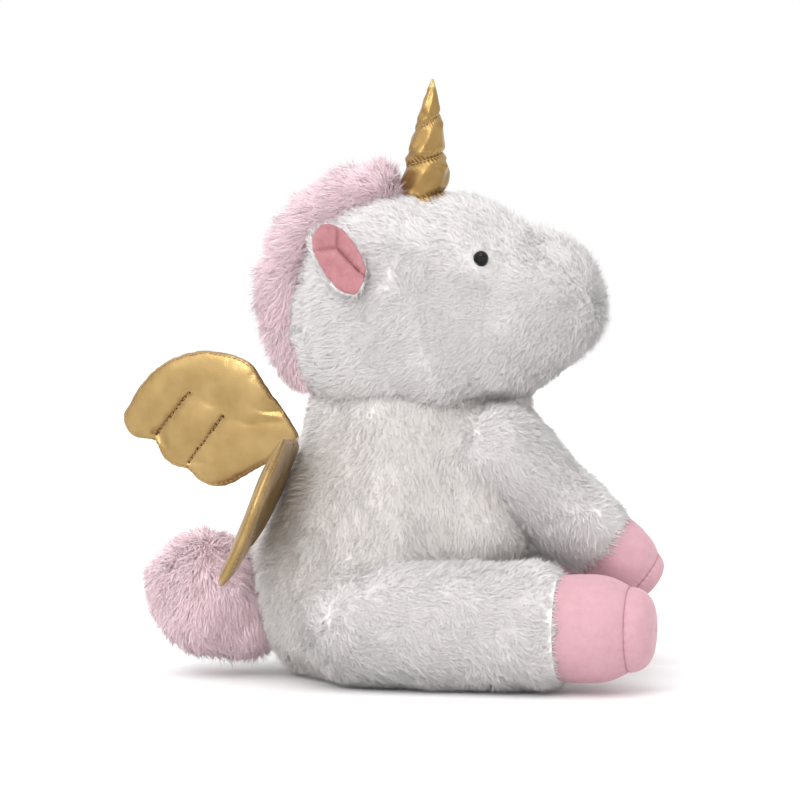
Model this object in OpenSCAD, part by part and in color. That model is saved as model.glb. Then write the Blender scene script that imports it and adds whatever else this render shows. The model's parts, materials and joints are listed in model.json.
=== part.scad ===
// Plush unicorn, sitting: long-pile body, velour hooves, padded gold wings and a twisted gold horn.
// Millimetres, +X towards the snout, +Y to the unicorn's left, +Z up.
// The origin is on the floor, under the middle of the seat.

/* [Torso] */
// Radius of the round belly
belly_r = 62; // [58:0.5:64]
// Radius of the chest
chest_r = 49; // [46:0.5:51]
// Thickness of the long-pile skin of torso and head, backing and pile together
skin_t = 5; // [3:0.5:6]
// Radius of the flat pellet pouch in the seat
pouch_r = 27; // [20:1:28]

/* [Head] */
// Radius of the cranium
cranium_r = 51; // [48:0.5:52]
// Radius of the snout
snout_r = 37; // [33:0.5:38]
// Distance from the cranium's centre to the snout's centre
head_len = 70; // [64:1:74]
// Radius of the stuffed neck between head and torso
neck_r = 24; // [20:0.5:25]
// Diameter of the glossy safety eyes
eye_d = 10; // [8:0.5:12]
// Height of the mane above the head
mane_h = 18; // [12:1:19]

/* [Horn and ears] */
// Length of the horn
horn_len = 61; // [50:1:64]
// Radius of the horn where it leaves the head
horn_r = 12; // [10:0.5:12.5]
// Length of an ear
ear_len = 34; // [28:1:36]
// Width of an ear
ear_w = 27; // [22:1:28]

/* [Front legs] */
// Radius of the shoulder end
shoulder_r = 26; // [23:0.5:26.5]
// Radius of the fur where the front hoof begins
wrist_r = 19.5; // [18:0.5:20]
// Radius of the front hoof
front_hoof_r = 18; // [16:0.5:18.5]
// Length of the front hoof with its sole
front_hoof_len = 31; // [26:1:32]

/* [Hind legs] */
// Radius of the hip end and the thigh
hip_r = 32; // [30:0.5:32]
// Radius of the fur where the hind hoof begins
ankle_r = 31; // [29:0.5:31]
// Radius of the hind hoof
hind_hoof_r = 26; // [24:0.5:28]
// Length of the hind hoof with its sole
hind_hoof_len = 46; // [44:1:51]

/* [Wings] */
// Scale of the wing's outline, 1 for a span of 97 mm
wing_scale = 0.96; // [0.9:0.01:1]
// Thickness of one panel of gold sheet
panel_t = 1; // [0.6:0.1:1.2]
// Thickness of the padding between the panels
padding_t = 5; // [3:0.5:6]

/* [Tail] */
// Radius of the fluffy tail
tail_r = 33; // [28:0.5:34]

/* [Hidden] */

$fn = 64;
white = "#f3eeef";
pink = "#f0c3cc";
hoof_pink = "#eab2bd";
gold = "#c79a4b";
fibre = "#fbfbf7";

fit_gap = 0.2;       // between pieces of one body that lie against each other
joint_gap = 0.8;     // between bodies that turn against each other
arc_steps = 10;      // straight stretches in each quarter or so of an outline
big = 400;           // larger than the whole toy

// Torso: two spheres, one above the other and a little forward, and the skin round both.
belly = [-11, 0, 50];
torso_lean = 12.4;
torso_len = 69.6;
pouch_z = 22;
pouch_h = 22;
torso_taper = asin((belly_r - chest_r) / torso_len);
seam_from = 14;      // above the belly's centre, up the back
seam_step = 4;
seam_stitches = 8;
seam_w = 5;

// Neck: the head turns and nods about its middle, and a wedge of this angle keeps it clear.
neck = [8, 0, 139];
neck_wedge = 5;

// Head: its long axis points forward and slightly down.
cranium = [0, 0, 190];
head_pitch = 92.5;
head_taper = asin((cranium_r - snout_r) / head_len);
eye_along = 33.5;    // where the eye's axis crosses the head's axis
eye_roll = 60;       // from straight up, round the head's axis
eye_seat = cranium_r - eye_along * sin(head_taper);
shank_r = 1.5;
washer_r = 5;
washer_t = 1.5;
washer_gap = 0.7;    // the washer is flat and the skin is curved
mane_w = 24;
mane_from = 94;      // from straight forward, over the top of the head
mane_to = 222;

horn_at = [15.5, 0, 237];
horn_lean = 4;
horn_tip_r = 1.2;
horn_turns = 2.6;
thread_r = 0.6;

ear_at = [-18, -52.5, 192.5];
ear_turn = [82, -30, 12];
ear_t = 4;
lining_t = 1.5;
ear_curve = (ear_len * ear_len / 4 + ear_w * ear_w / 4) / ear_w;

// Limbs: the right one is described, and the left one is its mirror image.
shoulder = [50, -28, 113];
arm_turn = [0, 130, 6];
arm_len = 72;
arm_down = 4;
arm_up = 30;
hip = [-14, -48, 32];
leg_turn = [0, 90, -12];
leg_len = 97;
leg_up = 12;
limb_skin_t = 4;
hoof_skin_t = 1.5;
sole_bulge = 5;

// Wings: the left one is raised and swept back, the right one spreads out and hangs.
left_wing_at = [-50, 13, 116];
left_wing_turn = [90, 0, 160];
right_wing_at = [-53.5, -17, 118];
right_wing_turn = [61, 44, -123];
wing_root_len = 20;
wing_groove_r = 6.8;  // of the hollow in the back that lets a wing turn at its root
wing_groove_len = 36;
stitch_pitch = 2.7;
stitch_len = 2;
stitch_r = 0.35;
wing_stitches = [[[58, 24], [76, 2], 10], [[39, 12], [58, -12], 11]];

tail = [-94, 0, 42];
tail_root = [-72, 0, 42];
tail_root_r = 9;
tail_wedge = 12;

// Points along an arc.
function arc(x, y, r, from, to) =
  [for (i = [0:arc_steps]) let (a = from + (to - from) * i / arc_steps) [x + r * cos(a), y + r * sin(a)]];

// Half outline of two spheres on the Z axis and the cone that is tangent to both.
function taper(r1, r2, len) = let (a = asin((r1 - r2) / len)) concat(
  [for (p = arc(0, 0, r1, -90, a)) [max(p[0], 0), p[1]]],
  [for (p = arc(0, len, r2, a, 90)) [max(p[0], 0), p[1]]]);

module tapered(r1, r2, len) {
  rotate_extrude() polygon(taper(r1, r2, len));
}

module mirrored(side) {
  if (side == "left") mirror([0, 1, 0]) children(); else children();
}

module above(z) { translate([-big, -big, z]) cube([2 * big, 2 * big, big]); }
module below(z) { translate([-big, -big, z - big]) cube([2 * big, 2 * big, big]); }

module in_torso() { translate(belly) rotate([0, torso_lean, 0]) children(); }
module in_head() { translate(cranium) rotate([0, head_pitch, 0]) children(); }
module in_horn() { translate(horn_at) rotate([0, horn_lean, 0]) children(); }
module in_arm(swing = 0) { translate(shoulder) rotate([0, -swing, 0]) rotate(arm_turn) children(); }
module in_leg(lift = 0) { translate(hip) rotate([0, 0, leg_turn[2]]) rotate([0, leg_turn[1] - lift, 0]) children(); }
module in_ear() { translate(ear_at) rotate(ear_turn) children(); }
module in_wing(side) {
  if (side == "left") translate(left_wing_at) rotate(left_wing_turn) children();
  else translate(right_wing_at) rotate(right_wing_turn) children();
}

// ---- Spaces that the moving parts keep free

// Everything beyond a shallow cone that opens away from the neck: side 1 is above it, -1 below it.
module neck_space(side) {
  translate(neck) rotate_extrude() polygon([
    [0, 0], [big, -side * big * tan(neck_wedge)], [big, side * big], [0, side * big]]);
}

module limb_spaces() {
  for (side = ["left", "right"]) mirrored(side) {
    for (swing = [-arm_down : (arm_up + arm_down) / 4 : arm_up]) in_arm(swing) {
      sphere(shoulder_r + joint_gap);
      cylinder(h = arm_len, r1 = shoulder_r + joint_gap, r2 = wrist_r + joint_gap);
    }
    for (lift = [0 : leg_up / 2 : leg_up]) in_leg(lift) {
      sphere(hip_r + joint_gap);
      cylinder(h = leg_len, r1 = hip_r + joint_gap, r2 = ankle_r + joint_gap);
    }
  }
}

module torso_spaces() {
  below(0);
  neck_space(1);
  translate(neck) sphere(neck_r + joint_gap);
  limb_spaces();
  translate(tail_root) sphere(tail_root_r + joint_gap);
  for (side = ["left", "right"]) in_wing(side)
    rotate([90, 0, 0]) cylinder(h = wing_groove_len, r = wing_groove_r, center = true);
}

module head_spaces() {
  neck_space(-1);
  translate(neck) sphere(neck_r + joint_gap);
  in_horn() sphere(horn_r + joint_gap);
}

// ---- Torso

module torso_form(inset) {
  in_torso() tapered(belly_r - inset, chest_r - inset, torso_len);
}

module pouch_form(grow) {
  translate([belly[0], 0, pouch_z]) cylinder(h = pouch_h + 2 * grow, r = pouch_r + grow, center = true);
}

module body_shell() {
  color(white) difference() {
    torso_form(0);
    difference() { torso_form(skin_t); below(skin_t / 2); }
    torso_spaces();
  }
}

module body_stuffing() {
  color(fibre) difference() {
    torso_form(skin_t + fit_gap);
    below(skin_t / 2 + fit_gap);
    torso_spaces();
    pouch_form(fit_gap);
  }
}

module pellet_pouch() {
  color("#d9d4c8") difference() {
    pouch_form(0);
    limb_spaces();
  }
}

// The hand-sewn closing seam: short stitches across the middle of the back.
module closing_seam() {
  color(white) in_torso() for (i = [0 : seam_stitches - 1]) {
    up = seam_from + i * seam_step;
    out = (belly_r - up * sin(torso_taper)) / cos(torso_taper) + stitch_r + fit_gap;
    translate([-out, 0, up]) rotate([90, 0, 0]) cylinder(h = seam_w, r = stitch_r, center = true);
  }
}

module neck_stuffing() {
  color(fibre) translate(neck) sphere(neck_r);
}

// ---- Head

module head_form(inset) {
  in_head() tapered(cranium_r - inset, snout_r - inset, head_len);
}

// The eye's own axis points straight out of the head.
module in_eye(side) {
  in_head() rotate([0, 0, side == "left" ? 180 - eye_roll : 180 + eye_roll])
    translate([0, 0, eye_along]) rotate([0, 90 - head_taper, 0]) children();
}

module eye_hole(grow) {
  for (side = ["left", "right"]) in_eye(side) cylinder(h = big / 4, r = shank_r + grow);
}

module head_shell() {
  color(white) difference() {
    head_form(0);
    head_form(skin_t);
    head_spaces();
    eye_hole(fit_gap);
  }
}

module head_stuffing() {
  color(fibre) difference() {
    head_form(skin_t + fit_gap);
    head_spaces();
    for (side = ["left", "right"]) in_eye(side)
      translate([0, 0, eye_seat - skin_t - washer_t - 2]) cylinder(h = 20, r = washer_r + fit_gap);
  }
}

// A crest round the top and back of the head, over the middle seam.
module mane() {
  color(pink) difference() {
    translate(cranium) rotate([90, 0, 0]) rotate(mane_from)
      rotate_extrude(angle = mane_to - mane_from) {
        translate([cranium_r + mane_h - mane_w / 2, 0]) circle(d = mane_w);
        translate([cranium_r - 4, -mane_w / 2]) square([mane_h + 4 - mane_w / 2, mane_w]);
      }
    head_form(-fit_gap);
  }
}

module eye(side) {
  color("black") in_eye(side) {
    difference() {
      translate([0, 0, eye_seat - 0.5]) sphere(d = eye_d);
      translate([0, 0, eye_seat + fit_gap - eye_d]) cylinder(h = eye_d, r = eye_d);
    }
    translate([0, 0, eye_seat - skin_t - washer_t - washer_gap])
      cylinder(h = skin_t + washer_t + washer_gap + 1, r = shank_r);
  }
}

module eye_washer(side) {
  color("white") in_eye(side) translate([0, 0, eye_seat - skin_t - washer_t - washer_gap]) difference() {
    cylinder(h = washer_t, r = washer_r);
    translate([0, 0, -1]) cylinder(h = washer_t + 2, r = shank_r + 0.05);
  }
}

// ---- Horn

function horn_at_height(z) = horn_tip_r + (horn_r - horn_tip_r) * (1 - z / horn_len);

module horn_form(inset, top) {
  intersection() {
    sphere(horn_r - inset);
    translate([0, 0, -horn_r]) cube(2 * horn_r, center = true);
  }
  cylinder(h = top, r1 = horn_r - inset, r2 = horn_at_height(top) - inset);
}

module horn_cover() {
  color(gold) in_horn() difference() {
    horn_form(0, horn_len);
    horn_form(panel_t, horn_len - 3 * horn_tip_r);
  }
}

module horn_stuffing() {
  color(fibre) in_horn() horn_form(panel_t + fit_gap, horn_len - 4 * horn_tip_r - horn_len / 8);
}

// The thread that pulls the horn into a twist, wound up it as a helix.
module horn_thread() {
  rings = 72;
  sides = 6;
  points = [for (i = [0:rings], j = [0:sides - 1]) let (
      z = 4 + (horn_len - 12) * i / rings, turn = 360 * horn_turns * i / rings, a = 360 * j / sides,
      out = horn_at_height(z) + 2 * thread_r + thread_r * cos(a))
    [out * cos(turn), out * sin(turn), z + thread_r * sin(a)]];
  tube = [for (i = [0:rings - 1], j = [0:sides - 1]) let (k = (j + 1) % sides)
    [i * sides + j, (i + 1) * sides + j, (i + 1) * sides + k, i * sides + k]];
  ends = [[for (j = [0:sides - 1]) j], [for (j = [sides - 1:-1:0]) rings * sides + j]];
  color("#a87c34") in_horn() polyhedron(points, concat(tube, ends), convexity = 4);
}

// ---- Ears

module ear_outline(inset) {
  intersection() {
    translate([ear_curve - ear_w / 2, ear_len / 2]) circle(ear_curve - inset);
    translate([ear_w / 2 - ear_curve, ear_len / 2]) circle(ear_curve - inset);
    translate([-ear_w, inset]) square([2 * ear_w, ear_len - 2 * inset]);
  }
}

module ear_back(side) {
  color(white) mirrored(side) in_ear() linear_extrude(ear_t) ear_outline(0);
}

module ear_lining(side) {
  color(hoof_pink) mirrored(side) in_ear() translate([0, 0, ear_t + fit_gap])
    linear_extrude(lining_t) ear_outline(3);
}

// ---- Front and hind legs

module limb_shell(r1, r2, len, skin) {
  difference() {
    limb_fill(r1, r2, len, 0);
    limb_fill(r1, r2, len, skin);
  }
}

module limb_fill(r1, r2, len, inset) {
  rotate_extrude() polygon(concat(
    [for (p = arc(0, 0, r1 - inset, -90, 0)) [max(p[0], 0), p[1]]],
    [[r2 - inset, len], [0, len]]));
}

// A velour cuff that carries on from the fur, open at both ends.
module hoof_tube(r, len) {
  difference() {
    cylinder(h = len, r = r);
    translate([0, 0, -1]) cylinder(h = len + 2, r = r - hoof_skin_t);
  }
}

// A softly domed disc.
module dome(r, h) {
  ball = (r * r + h * h) / (2 * h);
  edge = acos(r / ball);
  rotate_extrude() polygon(concat([[0, 0]], [for (p = arc(0, h - ball, ball, edge, 90)) [max(p[0], 0), max(p[1], 0)]]));
}

module arm_shell(side) {
  color(white) mirrored(side) in_arm() limb_shell(shoulder_r, wrist_r, arm_len, limb_skin_t);
}

module arm_stuffing(side) {
  inner_r = front_hoof_r - hoof_skin_t - fit_gap;
  color(fibre) mirrored(side) in_arm() {
    limb_fill(shoulder_r, wrist_r, arm_len, limb_skin_t + fit_gap);
    translate([0, 0, arm_len]) cylinder(h = front_hoof_len - sole_bulge - 3, r = inner_r - 4);
  }
}

module front_hoof(side) {
  color(hoof_pink) mirrored(side) in_arm() translate([0, 0, arm_len + fit_gap])
    hoof_tube(front_hoof_r, front_hoof_len - sole_bulge - fit_gap);
}

module front_sole(side) {
  color(hoof_pink) mirrored(side) in_arm()
    translate([0, 0, arm_len + front_hoof_len - sole_bulge + fit_gap]) dome(front_hoof_r, sole_bulge);
}

module leg_shell(side) {
  color(white) mirrored(side) in_leg() limb_shell(hip_r, ankle_r, leg_len, limb_skin_t);
}

module leg_stuffing(side) {
  inner_r = hind_hoof_r - hoof_skin_t - fit_gap;
  color(fibre) mirrored(side) in_leg() {
    limb_fill(hip_r, ankle_r, leg_len, limb_skin_t + fit_gap);
    translate([0, 0, leg_len]) cylinder(h = hind_hoof_len - sole_bulge - 3, r = inner_r - 6);
  }
}

module hind_hoof(side) {
  color(hoof_pink) mirrored(side) in_leg() translate([0, 0, leg_len + fit_gap])
    hoof_tube(hind_hoof_r, hind_hoof_len - sole_bulge - fit_gap);
}

module hind_sole(side) {
  color(hoof_pink) mirrored(side) in_leg()
    translate([0, 0, leg_len + hind_hoof_len - sole_bulge + fit_gap]) dome(hind_hoof_r, sole_bulge);
}

// ---- Wings

// Outline from the root: the long rounded upper edge, the tip, then two scallops below.
function wing_points() = concat(
  [[2, 4], [9, 16]], arc(47.6, -3.2, 50.3, 126, 24), arc(84, 11, 12.5, 22, -62),
  arc(62, 0, 15.5, -8, -88), arc(42, -5, 20, -34, -122), [[10, -9], [2, -6]]);

module wing_sheet(inset, low, thick) {
  translate([0, 0, low]) linear_extrude(thick) difference() {
    scale(wing_scale) polygon(wing_points());
    if (inset > 0) square(0.01);
  }
}

module wing_outer(side) {
  color(gold) in_wing(side) wing_sheet(0, padding_t / 2 + fit_gap, panel_t);
}

module wing_inner(side) {
  color(gold) in_wing(side) wing_sheet(0, -padding_t / 2 - fit_gap - panel_t, panel_t);
}

module wing_padding(side) {
  color(fibre) in_wing(side) {
    wing_sheet(0, -padding_t / 2, padding_t);
    translate([0, -wing_root_len / 2, 0]) rotate([-90, 0, 0]) cylinder(h = wing_root_len, r = padding_t / 2);
  }
}

// Two rows of machine stitches between the feathers, on both panels.
module wing_stitching(side) {
  lift = padding_t / 2 + panel_t + 2 * fit_gap + stitch_r;
  color("#8a6428") in_wing(side) for (row = wing_stitches, face = [-1, 1]) {
    from = row[0] * wing_scale;
    step = (row[1] - row[0]) * wing_scale / row[2];
    for (i = [0 : row[2] - 1]) translate([from[0] + i * step[0], from[1] + i * step[1], face * lift])
      rotate([0, 0, atan2(step[1], step[0])]) rotate([0, 90, 0]) cylinder(h = stitch_len, r = stitch_r);
  }
}

// ---- Tail

module tail_form(inset) {
  translate(tail) sphere(tail_r - inset);
  translate(tail_root) sphere(tail_root_r - inset);
}

module tail_space() {
  translate(tail_root) rotate([0, 90, 0]) rotate_extrude() polygon([
    [0, -2], [big, -2 - big * tan(tail_wedge)], [big, big], [0, big]]);
}

module tail_shell() {
  color(pink) difference() {
    translate(tail) sphere(tail_r);
    translate(tail) sphere(tail_r - skin_t);
    tail_space();
  }
}

module tail_stuffing() {
  color(fibre) {
    difference() {
      translate(tail) sphere(tail_r - skin_t - fit_gap);
      tail_space();
    }
    translate(tail_root) sphere(tail_root_r);
  }
}

body_shell();
body_stuffing();
pellet_pouch();
closing_seam();
neck_stuffing();
head_shell();
head_stuffing();
mane();
eye("left");  // eye_left
eye("right");  // eye_right
eye_washer("left");  // eye_washer_left
eye_washer("right");  // eye_washer_right
horn_cover();
horn_stuffing();
horn_thread();
ear_back("left");  // ear_back_left
ear_back("right");  // ear_back_right
ear_lining("left");  // ear_lining_left
ear_lining("right");  // ear_lining_right
arm_shell("left");  // arm_shell_left
arm_shell("right");  // arm_shell_right
arm_stuffing("left");  // arm_stuffing_left
arm_stuffing("right");  // arm_stuffing_right
front_hoof("left");  // front_hoof_left
front_hoof("right");  // front_hoof_right
front_sole("left");  // front_sole_left
front_sole("right");  // front_sole_right
leg_shell("left");  // leg_shell_left
leg_shell("right");  // leg_shell_right
leg_stuffing("left");  // leg_stuffing_left
leg_stuffing("right");  // leg_stuffing_right
hind_hoof("left");  // hind_hoof_left
hind_hoof("right");  // hind_hoof_right
hind_sole("left");  // hind_sole_left
hind_sole("right");  // hind_sole_right
wing_outer("left");  // wing_outer_left
wing_outer("right");  // wing_outer_right
wing_inner("left");  // wing_inner_left
wing_inner("right");  // wing_inner_right
wing_padding("left");  // wing_padding_left
wing_padding("right");  // wing_padding_right
wing_stitching("left");  // wing_stitching_left
wing_stitching("right");  // wing_stitching_right
tail_shell();
tail_stuffing();
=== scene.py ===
"""Plush unicorn: long-pile fur, velour hooves, padded gold wings and a twisted gold horn."""

import json
import math

import bpy
import numpy as np
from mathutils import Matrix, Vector, kdtree
from mathutils.geometry import delaunay_2d_cdt


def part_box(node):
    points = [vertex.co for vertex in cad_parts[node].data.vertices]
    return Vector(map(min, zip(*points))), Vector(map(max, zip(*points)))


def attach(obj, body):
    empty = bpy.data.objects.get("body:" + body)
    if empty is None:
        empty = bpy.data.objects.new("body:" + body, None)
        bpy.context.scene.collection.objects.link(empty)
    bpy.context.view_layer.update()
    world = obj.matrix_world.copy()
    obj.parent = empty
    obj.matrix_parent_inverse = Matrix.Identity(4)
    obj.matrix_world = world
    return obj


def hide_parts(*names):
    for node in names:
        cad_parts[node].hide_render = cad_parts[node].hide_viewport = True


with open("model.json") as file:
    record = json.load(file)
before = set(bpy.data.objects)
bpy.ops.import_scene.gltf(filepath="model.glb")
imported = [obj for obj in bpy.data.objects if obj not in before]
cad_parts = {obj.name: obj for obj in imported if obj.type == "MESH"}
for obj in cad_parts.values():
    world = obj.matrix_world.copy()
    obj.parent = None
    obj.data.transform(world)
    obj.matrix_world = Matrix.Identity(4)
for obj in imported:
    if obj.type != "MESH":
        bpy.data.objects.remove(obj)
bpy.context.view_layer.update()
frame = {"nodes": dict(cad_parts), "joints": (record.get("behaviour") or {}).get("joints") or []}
MM = 0.001
JOINT_AT = {j["name"]: np.array(j["pos_m"]) / MM for j in frame["joints"]}
JOINT_AXIS = {j["name"]: np.array(j["axis"]) for j in frame["joints"]}
DENSITY = 1.0

# Everything below is in millimetres until a mesh is made.


def node_box(node):
    low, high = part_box(node)
    return np.array(low) / MM, np.array(high) / MM


def node_centre(node):
    low, high = node_box(node)
    return (low + high) / 2


def mesh_points(mesh):
    flat = np.empty(len(mesh.vertices) * 3, np.float32)
    mesh.vertices.foreach_get("co", flat)
    return flat.reshape(-1, 3).astype(float) / MM


def node_points(node):
    return mesh_points(frame["nodes"][node].data)


def unit(v):
    v = np.asarray(v, float)
    return v / np.maximum(np.linalg.norm(v, axis=-1, keepdims=True), 1e-9)


def basis(way):
    """Two directions across a way, the second one as far up as it can be."""
    side = unit(np.cross(way, (0, 0, 1) if abs(way[2]) < 0.98 else (0, -1, 0)))
    return side, np.cross(side, way)


# ---------------------------------------------------------------- smooth noise

WAVES = np.random.default_rng(11)


def make_waves(count):
    return unit(WAVES.normal(size=(count, 3))), WAVES.uniform(0.6, 1.6, count), WAVES.uniform(0, 6.283, count)


NOISE = [make_waves(14) for _ in range(6)]


def noise(p, size, channel=0):
    """A smooth random value from about -1 to 1, with bumps about `size` mm wide."""
    directions, rates, phases = NOISE[channel]
    angle = (p @ directions.T) * (rates * 2 * math.pi / (2 * size)) + phases
    return np.sin(angle).sum(-1) / math.sqrt(len(rates) / 2) / 1.6


def noise3(p, size):
    return np.stack([noise(p, size, c) for c in (1, 2, 3)], -1)


# ---------------------------------------------------------------- soft forms

def taper(p, a, b, r1, r2):
    """Signed distance to two spheres and the cone between them."""
    a, b = np.asarray(a, float), np.asarray(b, float)
    along = b - a
    t = np.clip((p - a) @ along / (along @ along), 0, 1)
    return np.linalg.norm(p - a - t[..., None] * along, axis=-1) - (r1 + t * (r2 - r1))


def ball(p, centre, r, stretch=(1, 1, 1)):
    s = np.asarray(stretch, float)
    q = (p - np.asarray(centre, float)) / s
    return (np.linalg.norm(q, axis=-1) - r) * s.min()


def join(a, b, k):
    """Two forms as one, with a fillet about k wide."""
    h = np.clip(0.5 + 0.5 * (b - a) / k, 0, 1)
    return b + (a - b) * h - k * h * (1 - h)


def cut(a, b, k):
    """What a and b share, with a rounded edge."""
    return -join(-a, -b, k)


def gradient(form, p, step=0.4):
    g = np.empty_like(p)
    for i in range(3):
        d = np.zeros(3)
        d[i] = step
        g[:, i] = form(p + d) - form(p - d)
    return unit(g)


def ray_surface(form, centre, directions, reach):
    """How far out each direction last leaves the form."""
    far = np.full(len(directions), float(reach))
    near = far.copy()
    found = np.zeros(len(directions), bool)
    for s in np.linspace(reach, 0, 90):
        inside = form(centre + directions * s) < 0
        fresh = inside & ~found
        near[fresh] = s
        found |= inside
        far[~found] = s
    for _ in range(12):
        middle = (near + far) / 2
        inside = form(centre + directions * middle[:, None]) < 0
        near = np.where(inside, middle, near)
        far = np.where(inside, far, middle)
    return near


def skin(form, centre, reach, rings, sectors, pole=(0, 0, 1)):
    """A closed surface round centre as vertices and triangles, with its poles along `pole`."""
    pole = unit(pole)
    side = unit(np.cross(pole, (0, 1, 0) if abs(pole[1]) < 0.9 else (1, 0, 0)))
    other = np.cross(pole, side)
    lat = np.linspace(0, math.pi, rings + 1)[1:-1]
    lon = np.arange(sectors) * 2 * math.pi / sectors
    grid = [pole]
    for a in lat:
        grid.extend(math.cos(a) * pole + math.sin(a) * (math.cos(b) * side + math.sin(b) * other) for b in lon)
    grid.append(-pole)
    directions = np.array(grid)
    centre = np.asarray(centre, float)
    points = centre + directions * ray_surface(form, centre, directions, reach)[:, None]
    tris = []
    last = len(points) - 1
    for j in range(sectors):
        k = (j + 1) % sectors
        tris.append((0, 1 + j, 1 + k))
        for i in range(rings - 2):
            a, b = 1 + i * sectors + j, 1 + i * sectors + k
            tris.append((a, a + sectors, b + sectors))
            tris.append((a, b + sectors, b))
        tris.append((last, 1 + (rings - 2) * sectors + k, 1 + (rings - 2) * sectors + j))
    return points, np.array(tris)


# ---------------------------------------------------------------- meshes

def mesh_object(name, points, tris, normals=None, slots=None, materials=()):
    """A mesh object in metres from triangles in millimetres."""
    mesh = bpy.data.meshes.new(name)
    mesh.vertices.add(len(points))
    mesh.vertices.foreach_set("co", (np.asarray(points) * MM).astype(np.float32).ravel())
    mesh.loops.add(tris.size)
    mesh.loops.foreach_set("vertex_index", tris.astype(np.int32).ravel())
    mesh.polygons.add(len(tris))
    mesh.polygons.foreach_set("loop_start", np.arange(0, tris.size, 3, dtype=np.int32))
    mesh.update(calc_edges=True)
    mesh.shade_smooth()
    if slots is not None:
        mesh.polygons.foreach_set("material_index", slots.astype(np.int32))
    for material in materials:
        mesh.materials.append(material)
    if normals is not None:
        attribute = mesh.attributes.new("custom_normal", "FLOAT_VECTOR", "POINT")
        attribute.data.foreach_set("vector", unit(normals).astype(np.float32).ravel())
    mesh.update()
    obj = bpy.data.objects.new(name, mesh)
    bpy.context.scene.collection.objects.link(obj)
    return obj


def declare(piece, body, nodes=None):
    """Says what a piece rides on, and hides the CAD nodes it stands for."""
    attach(piece, body)
    if nodes is not None:
        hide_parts(*nodes)


def closed_tube(points, rings, sectors):
    """Joins rings of points into a tube and closes both ends with a fan."""
    tris = []
    for i in range(rings - 1):
        for j in range(sectors):
            k = (j + 1) % sectors
            a, b = i * sectors + j, i * sectors + k
            tris += [(a, b, b + sectors), (a, b + sectors, a + sectors)]
    last = (rings - 1) * sectors
    ends = np.array([points[:sectors].mean(axis=0), points[last:].mean(axis=0)])
    start, end = len(points), len(points) + 1
    for j in range(sectors):
        k = (j + 1) % sectors
        tris += [(start, k, j), (end, last + j, last + k)]
    points, tris = np.concatenate([points, ends]), np.array(tris)
    a, b, c = (points[tris[:, i]] - points[start] for i in range(3))
    if (np.cross(a, b) * c).sum() < 0:
        tris = tris[:, ::-1]
    return points, tris


def scatter(points, tris, count, rng):
    """Evenly random places on a surface."""
    a, b, c = (points[tris[:, i]] for i in range(3))
    area = np.linalg.norm(np.cross(b - a, c - a), axis=1)
    total = np.cumsum(area)
    pick = (np.arange(count) + rng.random(count)) / count * total[-1]
    face = np.minimum(np.searchsorted(total, pick), len(tris) - 1)
    u, v = rng.random(count), rng.random(count)
    flip = u + v > 1
    u[flip], v[flip] = 1 - u[flip], 1 - v[flip]
    return a[face] + (b - a)[face] * u[:, None] + (c - a)[face] * v[:, None]


def nearest(points, centres):
    tree = kdtree.KDTree(len(centres))
    for i, c in enumerate(centres):
        tree.insert(c, i)
    tree.balance()
    return np.array([tree.find(p)[1] for p in points])


def strands(roots, mids, tips, width, out, soft, sides=3, steps=2):
    """Tapered hairs along quadratic curves: vertices, triangles and soft normals."""
    count = len(roots)
    ts = np.linspace(0, 1, steps + 1)
    along0 = unit(mids - roots)
    across = unit(np.cross(along0, unit(out + 0.31)))
    rings = []
    normals = []
    for t in ts[:-1]:
        centre = (1 - t) ** 2 * roots + 2 * t * (1 - t) * mids + t * t * tips
        along = unit((1 - t) * (mids - roots) + t * (tips - mids))
        x = unit(across - (across * along).sum(-1, keepdims=True) * along)
        y = np.cross(along, x)
        r = (width / 2 * (1 - 0.75 * t))[:, None]
        for j in range(sides):
            a = 2 * math.pi * j / sides
            radial = math.cos(a) * x + math.sin(a) * y
            rings.append(centre + radial * r)
            normals.append(radial * (1 - soft) + out * soft)
    rings.append(tips)
    normals.append(out)
    per = sides * steps + 1
    points = np.stack(rings, 1).reshape(-1, 3)
    normals = np.stack(normals, 1).reshape(-1, 3)
    faces = []
    for i in range(steps - 1):
        for j in range(sides):
            k = (j + 1) % sides
            a, b = i * sides + j, i * sides + k
            faces += [(a, b, b + sides), (a, b + sides, a + sides)]
    top = (steps - 1) * sides
    faces += [(top + j, top + (j + 1) % sides, per - 1) for j in range(sides)]
    faces = np.array(faces)
    tris = (faces[None] + (np.arange(count) * per)[:, None, None]).reshape(-1, 3)
    return points, tris, normals, len(faces)


PANEL_TRIS = 185000      # most triangles in one sewn panel of pile
SHADES = 3               # slightly different colours of hair in one pile
RNG = np.random.default_rng(7)


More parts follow.
